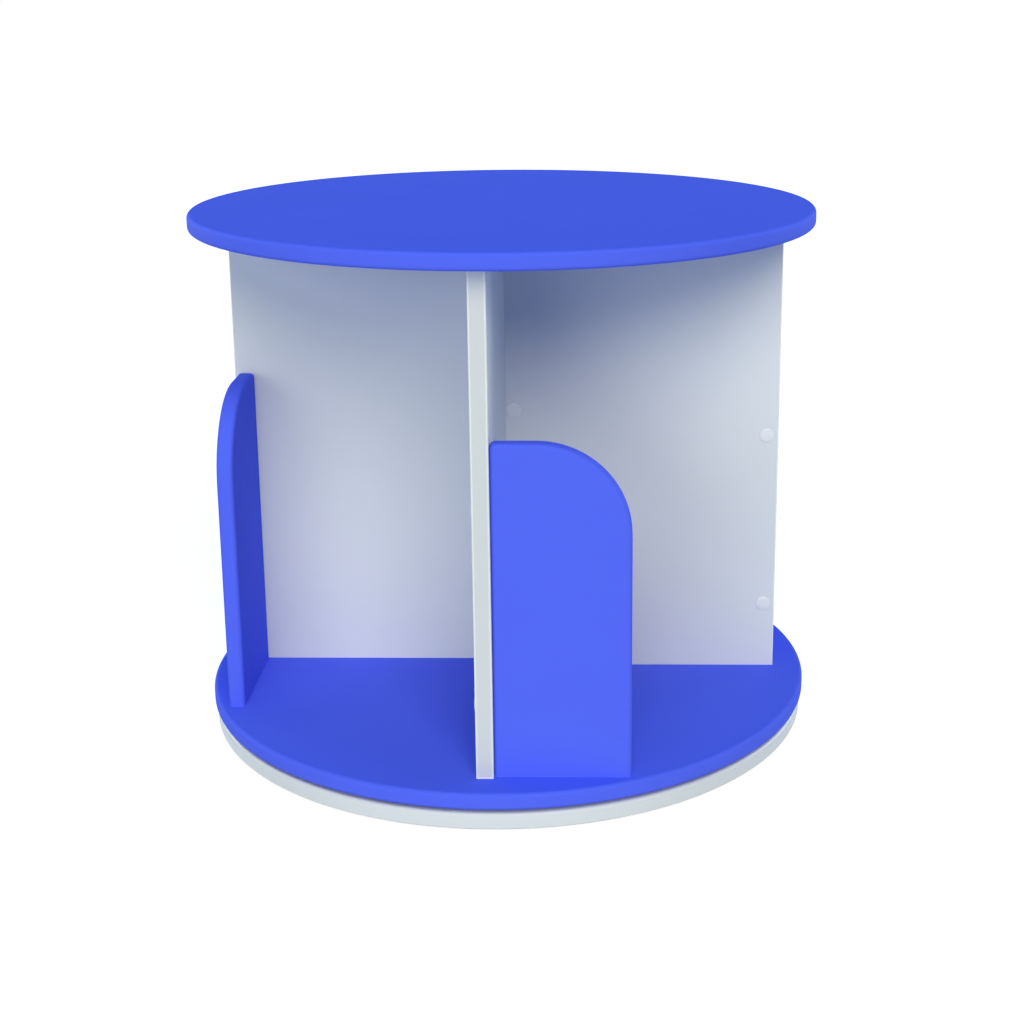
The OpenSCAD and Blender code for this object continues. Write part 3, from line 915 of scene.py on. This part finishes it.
def run_tree(obj, tree, **values):
    """Puts obj through the tree and gives it the result as its own plain mesh"""
    modifier = obj.modifiers.new("tree", "NODES")
    modifier.node_group = tree
    sockets = tree.interface.items_tree
    ids = {item.name: item.identifier for item in sockets if item.in_out == "INPUT"}
    for label, value in values.items():
        modifier[ids[socket_name(label)]] = value
    graph = bpy.context.evaluated_depsgraph_get()
    mesh = bpy.data.meshes.new_from_object(obj.evaluated_get(graph), depsgraph=graph)
    obj.modifiers.clear()
    old = obj.data
    obj.data = mesh
    bpy.data.meshes.remove(old)
    mesh.name = obj.name
    mesh.set_sharp_from_angle(angle=SHARP)
    return obj


# %% [markdown]
# Each new piece is measured. Its signed volume is above nought only if its faces look
# outwards, and an edge that doesn't have exactly two faces would be a hole or a wall
# inside. Then the piece takes the place of a node of the frame.

# %% Turning, measuring and handing over
def measure(obj, note=""):
    probe = bmesh.new()
    probe.from_mesh(obj.data)
    volume = probe.calc_volume(signed=True) / MM**3
    open_edges = sum(not edge.is_manifold for edge in probe.edges)
    print(f"{obj.name}: {note}{len(probe.faces)} faces, {volume:.0f} mm3, {open_edges} open edges")
    probe.free()


def turned(name, section, slot, **cuts):
    """One piece turned from its half section, a list of points (out, up)"""
    mesh = bpy.data.meshes.new(name)
    line = [(i, i + 1) for i in range(len(section) - 1)]
    mesh.from_pydata([(out, 0, up) for out, up in section], line, [])
    made = run_tree(new_object(name, mesh), LATHE, finish=FINISHES[slot], **cuts)
    measure(made)
    return made


def arc(out, up, radius, start, end, steps):
    """Points along an arc about (out, up), from one angle to another in degrees"""
    angles = (math.radians(start + (end - start) * i / steps) for i in range(steps + 1))
    return [(out + radius * math.cos(a), up + radius * math.sin(a)) for a in angles]


def hand_over(piece, node):
    """The new piece takes the place of a node of the frame, with its body and slot"""
    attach(piece, BODY_OF[node])
    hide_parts(node)


# %% [markdown]
# ## Where the seats are
#
# The frame holds all the screws of one kind as one mesh. Cut into its loose parts, it
# tells where each one sits: the middle of the part, the way it lies, and which of its
# ends is the wide one, where the head is. A seat is the middle of the wide end, and it
# faces the narrow end. The loose triangles of the frame are merged on a copy first.

# %% Finding seats
almost_widest = 0.98
place_digits = 5


def loose_parts(node):
    """The points of each loose part of a node, as arrays"""
    probe = bmesh.new()
    probe.from_mesh(frame["nodes"][node].data)
    bmesh.ops.remove_doubles(probe, verts=probe.verts, dist=same_spot)
    left, parts = set(probe.verts), []
    while left:
        stack, part = [left.pop()], []
        while stack:
            vert = stack.pop()
            part.append(vert.co.copy())
            for edge in vert.link_edges:
                other = edge.other_vert(vert)
                if other in left:
                    left.remove(other)
                    stack.append(other)
        parts.append(np.array(part))
    probe.free()
    return parts


def seat_of(part, flat=False):
    """Seat and facing of one part: flat parts lie across their shortest side"""
    low, high = part.min(0), part.max(0)
    spans = high - low
    axis = int(np.argmin(spans) if flat else np.argmax(spans))
    middle = (low + high) / 2
    away = part - middle
    away[:, axis] = 0
    radius = np.linalg.norm(away, axis=1)
    wide = part[radius > radius.max() * almost_widest, axis].mean()
    facing = np.zeros(3)
    facing[axis] = 1.0 if wide <= middle[axis] else -1.0
    seat = middle - facing * spans[axis] / 2
    return seat, facing, spans


def seats_of(node, flat=False):
    found = [seat_of(part, flat) for part in loose_parts(node)]
    found.sort(key=lambda seat: tuple(np.round(seat[0], place_digits)))
    return found


def lay_copies(piece, node, flat=False):
    """Copies of one finished piece on every seat of a node, as one mesh"""
    found = seats_of(node, flat)
    mesh = bpy.data.meshes.new(node)
    mesh.from_pydata([tuple(seat) for seat, _, _ in found], [], [])
    facing = mesh.attributes.new("facing", "FLOAT_VECTOR", "POINT")
    facing.data.foreach_set("vector", np.concatenate([f for _, f, _ in found]))
    made = run_tree(
        new_object(node + "_set", mesh), SEATING, piece=piece, finish=FINISHES[SLOT_OF[node]])
    bpy.data.objects.remove(piece)
    measure(made, f"{len(found)} copies, ")
    hand_over(made, node)


# %% [markdown]
# ## Top board
#
# The top is a disc with a softly rounded rim. Its section starts at the axis on the
# underside, runs out, round the rim and back. A ring of points just inside each rounding
# keeps the flat face truly flat in the shading.

# %% Top board
rim_r = 3 * MM
rim_steps = 8
hold_ring = 0.25 * MM
ring_shares = (0.35, 0.7)
board_steps = 256


def rim_section(radius, low, high, rim):
    """Round the rim from the underside up: a quarter arc, the upright wall, a quarter arc"""
    lower = arc(radius - rim, low + rim, rim, -90, 0, rim_steps)
    upper = arc(radius - rim, high - rim, rim, 0, 90, rim_steps)
    return lower + [(radius, (low + high) / 2)] + upper


def board_section(radius, low, high, rim):
    flat = radius - rim - hold_ring
    rings = [flat * share for share in ring_shares]
    bottom = [(0, low)] + [(r, low) for r in rings] + [(flat, low)]
    top = [(flat, high)] + [(r, high) for r in reversed(rings)] + [(0, high)]
    return bottom + rim_section(radius, low, high, rim) + top


top_section = board_section(board_r, top_low.z, top_high.z, rim_r)
hand_over(turned("top_disc", top_section, "blue_board", steps=board_steps), "top_board")

# %% [markdown]
# ## Shelf and base
#
# The other two round boards have a pocket and holes for the bearing, the screws and the
# dowels, so they aren't turned from scratch. Each keeps the middle of its mesh, on a
# merged copy, and gets a new rim. The old rim is cut off where the flat faces end, which
# leaves an open ring of edges below and above. Each edge of a ring is halved, so that
# the outline stays round in a close view, and strips round the rim close the board again.

# %% Shelf and base
lacquer_rim_r = 2 * MM
near = 0.01 * MM
angle_digits = 3


def turn_of(vert):
    """Direction of a point from the axis, in degrees, the same for points above each other"""
    return round(math.degrees(math.atan2(vert.co.y, vert.co.x)), angle_digits) % 360


def without_rim(node, flat_r):
    """A merged copy of a round board, cut off at flat_r, and the open rings below and above"""
    shape = bmesh.new()
    shape.from_mesh(frame["nodes"][node].data)
    bmesh.ops.remove_doubles(shape, verts=shape.verts, dist=same_spot)
    outer = {vert for vert in shape.verts if vert.co.xy.length > flat_r - near}
    rim = [face for face in shape.faces if outer.issuperset(face.verts)]
    bmesh.ops.delete(shape, geom=rim, context="FACES")
    border = [edge for edge in shape.edges if edge.is_boundary]
    bmesh.ops.subdivide_edges(shape, edges=border, cuts=1)
    ring = sorted((vert for vert in shape.verts if vert.is_boundary), key=turn_of)
    for vert in ring:
        pull = (flat_r - hold_ring) / vert.co.xy.length
        vert.co.x *= pull
        vert.co.y *= pull
    lowest = min(vert.co.z for vert in ring)
    below = [vert for vert in ring if vert.co.z < lowest + near]
    above = [vert for vert in ring if vert.co.z > lowest + near]
    return shape, below, above


def close_rim(shape, below, above, section):
    """Strips round the rim, from each point of the lower ring to the one above it"""
    columns = []
    for foot, head in zip(below, above):
        way = foot.co.xy.normalized()
        strip = [shape.verts.new((way.x * out, way.y * out, up)) for out, up in section]
        columns.append([foot] + strip + [head])
    for here, there in zip(columns, columns[1:] + columns[:1]):
        for i in range(len(here) - 1):
            shape.faces.new((here[i], there[i], there[i + 1], here[i + 1]))
    bmesh.ops.recalc_face_normals(shape, faces=shape.faces)
    shape.verts.index_update()


def rimmed_board(name, node, rim, finish):
    low, high = corners(node)
    radius = (high.x - low.x) / 2
    shape, below, above = without_rim(node, radius - rim)
    close_rim(shape, below, above, rim_section(radius, low.z, high.z, rim))
    mesh = bpy.data.meshes.new(name)
    faces = [[vert.index for vert in face.verts] for face in shape.faces]
    mesh.from_pydata([vert.co for vert in shape.verts], [], faces)
    steps = len(below)
    shape.free()
    mesh.shade_smooth()
    mesh.set_sharp_from_angle(angle=SHARP)
    mesh.materials.append(finish)
    board = new_object(name, mesh)
    measure(board, f"{steps} steps, ")
    hand_over(board, node)


rimmed_board("shelf_disc", "shelf_board", rim_r, FINISHES["blue_board"])
rimmed_board("base_disc", "base_board", lacquer_rim_r, WHITE_LACQUER)

# %% [markdown]
# ## Screws and bolts
#
# Seen from its head, a board screw is a flat cylinder with a hexagon socket, a shank and a
# thread that ends in a point. The countersunk ones have a cone for a head. Their thread is
# a separate formula in the lathe tree, so a section only gives the smooth body. It needs a
# row of points every small fraction of a pitch along the thread to carry the ridge.

# %% Threaded sections
fastener_steps = 24
rows_a_turn = 8


def sizes_of(node, flat=False):
    """Length and greatest diameter of the parts of a node, along and across their axis"""
    _, facing, spans = seats_of(node, flat)[0]
    along = float(abs(facing) @ spans)
    across = float(np.max(spans * (1 - abs(facing))))
    return along, across


def shank(out, start, end, pitch):
    """A straight run, with some rows of points to each turn of the thread"""
    rows = max(2, round((end - start) / (pitch / rows_a_turn)))
    return [(out, start + (end - start) * i / rows) for i in range(rows + 1)]


def socket_points(socket_r, depth):
    """The floor and the wall of the socket, up to the face of the head"""
    return [(0, depth), (socket_r, depth), (socket_r, 0)]


def blunt_point(length):
    return [(0.2 * MM, length - 0.1 * MM), (0, length)]


def threaded(node, section, start, end, pitch, ridge, socket_r=0.0, depth=0.0):
    """A screw or bolt turned from its section, with its thread between start and end"""
    return turned(
        node + "_one", section, "plated_steel", steps=fastener_steps, cut_from=start,
        cut_to=end, thread_pitch=pitch, thread_height=ridge, socket_radius=socket_r,
        socket_floor=depth)


# %% Screws
def board_screw(node):
    """A cylindrical head with a socket, a neck and a pointed, threaded shank"""
    length, head_d = sizes_of(node)
    head_r, head_h, bevel = head_d / 2, 3.0 * MM, 0.4 * MM
    neck_r, neck_from, neck_to = 2.0 * MM, head_h + 1 * MM, head_h + 5 * MM
    socket_r, depth = 2.0 * MM, 2.2 * MM
    core, pitch, ridge = 1.45 * MM, 1.8 * MM, 0.5 * MM
    start, end = head_h + 6 * MM, length - 4 * MM
    section = socket_points(socket_r, depth)
    section += [(head_r - bevel, 0), (head_r, bevel), (head_r, head_h)]
    section += [(neck_r, neck_from), (neck_r, neck_to)]
    section += shank(core, start, end, pitch) + blunt_point(length)
    return threaded(node, section, start, end, pitch, ridge, socket_r, depth)


def countersunk_screw(node, shank_d):
    """A cone-shaped head, flush with the board, and a pointed, threaded shank"""
    length, head_d = sizes_of(node)
    head_r, head_h = head_d / 2, (head_d - shank_d) / 2
    bevel_out, bevel_up = 0.15 * MM, 0.12 * MM
    socket_r, depth = shank_d / 2, head_h * 0.8
    core, pitch, ridge = shank_d / 2 - 0.5 * MM, 1.6 * MM, 0.48 * MM
    start, end = head_h + 1.2 * MM, length - shank_d
    section = socket_points(socket_r, depth)
    section += [(head_r - bevel_out, 0), (head_r, bevel_up), (shank_d / 2, head_h)]
    section += shank(core, start, end, pitch) + blunt_point(length)
    return threaded(node, section, start, end, pitch, ridge, socket_r, depth)


for node in ("fence_screws", "centre_screws"):
    lay_copies(board_screw(node), node)
for node, shank_d in (("shelf_screws", 4 * MM), ("ring_screws", 3.5 * MM)):
    lay_copies(countersunk_screw(node, shank_d), node)

# %% [markdown]
# The bolts of the bearing are machine bolts: a low round head with a socket and a fine,
# even thread. A cam bolt is screwed into the top board, and its small head hangs in the
# cam lock that pulls the boards together. Its wide end is the threaded one.

# %% Bolts
def bearing_bolt(node):
    length, head_d = sizes_of(node)
    head_r, head_h, bevel = head_d / 2, 2.5 * MM, 0.6 * MM
    socket_r, depth = 1.4 * MM, 1.5 * MM
    shank_r, end_r = 2 * MM, 1.3 * MM
    core, pitch, ridge = 1.7 * MM, 0.7 * MM, 0.28 * MM
    start, end = head_h + 0.5 * MM, length - 0.5 * MM
    section = socket_points(socket_r, depth)
    section += arc(head_r - bevel, bevel, bevel, -90, 0, 4)
    section += [(head_r, head_h), (shank_r, head_h)]
    section += shank(core, start, end, pitch) + [(end_r, length), (0, length)]
    return threaded(node, section, start, end, pitch, ridge, socket_r, depth)


def cam_bolt(node):
    """A threaded end, a collar, a thin neck and a small head"""
    length, across = sizes_of(node)
    full, neck_r, end_bevel = across / 2, across * 0.3, 0.6 * MM
    core, pitch, ridge = full - 0.5 * MM, 1.25 * MM, 0.48 * MM
    start, end, collar_from = 0.8 * MM, 8 * MM, 8.4 * MM
    head_h, neck_l = across * 0.5, across * 0.8
    head_from = length - head_h
    neck_from = head_from - neck_l
    section = [(0, 0), (core - end_bevel, 0)] + shank(core, start, end, pitch)
    section += [(full, collar_from), (full, neck_from - 1.5 * MM)]
    section += [(neck_r, neck_from), (neck_r, head_from - 0.5 * MM)]
    section += [(full, head_from), (full, length - head_h / 2), (neck_r, length), (0, length)]
    return threaded(node, section, start, end, pitch, ridge)


lay_copies(bearing_bolt("base_bolts"), "base_bolts")
lay_copies(cam_bolt("cam_bolts"), "cam_bolts")

# %% [markdown]
# ## Dowels
#
# A dowel has flutes along it, which let air and glue out of the blind hole, and its ends
# are chamfered so that it finds the hole.

# %% Dowels
flute_count = 18
flute_depth = 0.3 * MM
dowel_bevel = 0.8 * MM
flute_start = 0.6 * MM


def dowel(node):
    length, across = sizes_of(node)
    full, low, high = across / 2, dowel_bevel, length - dowel_bevel
    section = [(0, 0), (full - dowel_bevel, 0), (full, low), (full, low + flute_start)]
    section += [(full, high - flute_start), (full, high), (full - dowel_bevel, length)]
    return turned(
        node + "_one", section + [(0, length)], "beech_dowel", steps=4 * flute_count,
        cut_from=low, cut_to=high, flutes=flute_count, flute_depth=flute_depth)


for node in ("shelf_dowels", "fence_dowels", "top_dowels"):
    lay_copies(dowel(node), node)

# %% [markdown]
# ## Balls, caps and foot pads
#
# The rest is round and plain, but not crude: a ball is half a circle turned, a cap is a
# low dome with a soft rim and a peg behind it, and a foot pad has the slightly pressed
# edge of cut foam.

# %% Balls, caps and pads
def ball(node):
    length, _ = sizes_of(node)
    section = arc(0, length / 2, length / 2, -90, 90, 12)
    section[0], section[-1] = (0, 0), (0, length)
    return turned(node + "_one", section, "ball_steel", steps=fastener_steps)


def cap(node, peg_r):
    """A dome on the face of the board, with a peg in the fitting behind it"""
    depth, across = sizes_of(node, flat=True)
    full, dome_h, rim, bevel = across / 2, 1.0 * MM, 0.3 * MM, 0.3 * MM
    bow, fall = 0.86, 0.95
    bulge = [
        (full * share, dome_h * (1 - math.sqrt(1 - (share * bow) ** 2)) * fall)
        for share in (0.25, 0.5, 0.7, 0.85)
    ]
    section = [(0, 0)] + bulge + arc(full - rim, dome_h - rim, rim, -60, 0, 4)
    section += [(full, dome_h), (peg_r, dome_h), (peg_r, depth - bevel)]
    section += [(peg_r - bevel, depth), (0, depth)]
    return turned(node + "_one", section, "white_cap", steps=48)


def foot_pad(node):
    thick, across = sizes_of(node, flat=True)
    full, soft = across / 2, 0.6 * MM
    flat, inner = full - soft - hold_ring, full * 0.6
    section = [(0, 0), (inner, 0), (flat, 0)]
    section += arc(full - soft, soft, soft, -90, 0, 5)
    section += arc(full - soft, thick - soft, soft, 0, 90, 5)
    section += [(flat, thick), (inner, thick), (0, thick)]
    return turned(node + "_one", section, "foot_foam", steps=64)


lay_copies(ball("bearing_balls"), "bearing_balls")
for node, peg_r in (("screw_caps", 1.6 * MM), ("cam_caps", 0.64 * MM)):
    lay_copies(cap(node, peg_r), node, flat=True)
lay_copies(foot_pad("foot_pads"), "foot_pads", flat=True)
